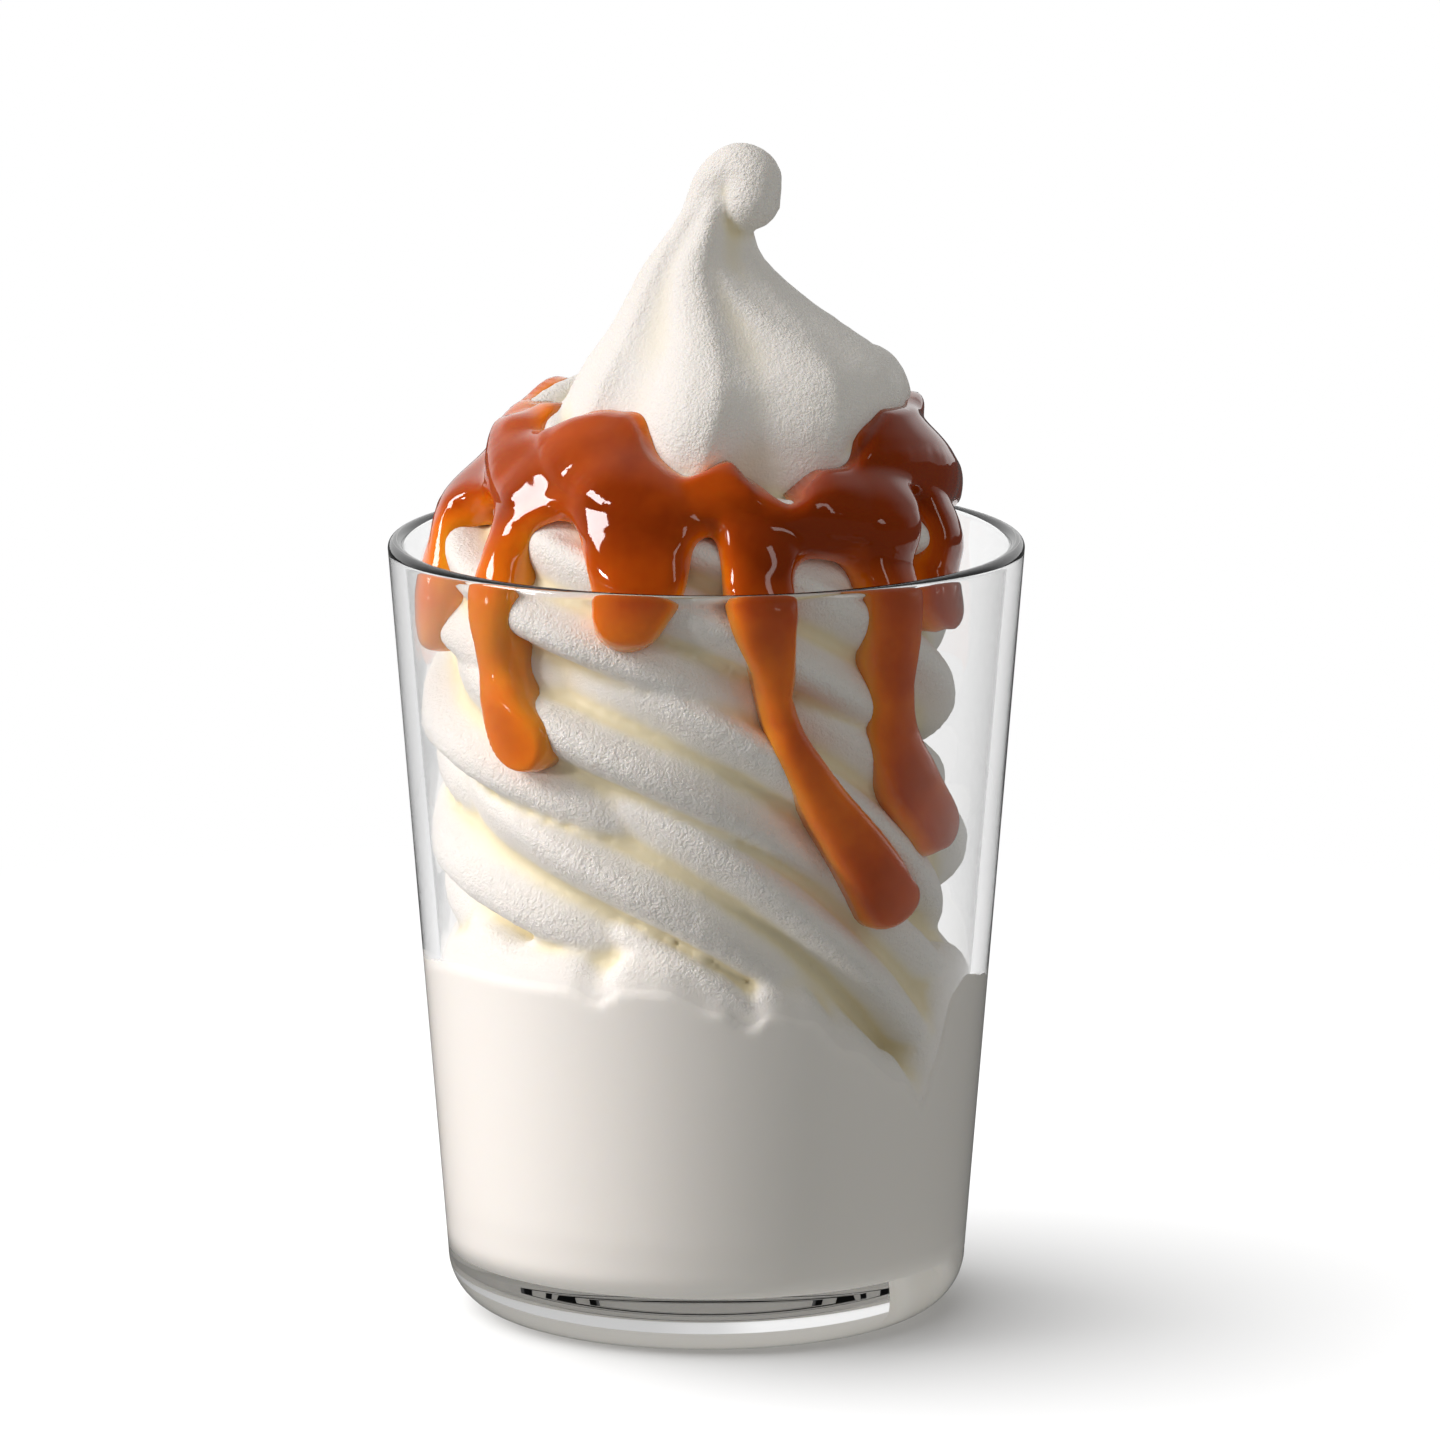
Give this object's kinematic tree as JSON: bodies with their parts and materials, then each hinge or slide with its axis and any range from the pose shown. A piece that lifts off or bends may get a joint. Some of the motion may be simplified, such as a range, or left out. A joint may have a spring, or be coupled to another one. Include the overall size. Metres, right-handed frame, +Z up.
{
  "type": "ice cream sundae",
  "caption": "Vanilla soft serve coiled up to a folded peak in a clear tapered glass tumbler, with caramel sauce poured round its shoulder and running down its sides.",
  "frame": {"origin": "middle of the glass's foot, on the table that it stands on", "axes": "+Z up from the foot to the peak; -Y is the front, which the picture shows; +X is to the right of it, the side that the peak folds over to"},
  "size_m": [0.0838, 0.0838, 0.1554],
  "materials": {
    "clear_glass": "polished clear glass",
    "vanilla_ice_cream": "soft, finely grained frozen cream",
    "caramel": "wet gloss, translucent"
  },
  "bodies": {
    "root": {"glass_tumbler": "clear_glass", "soft_serve": "vanilla_ice_cream", "caramel_sauce": "caramel"}
  },
  "joints": []
}
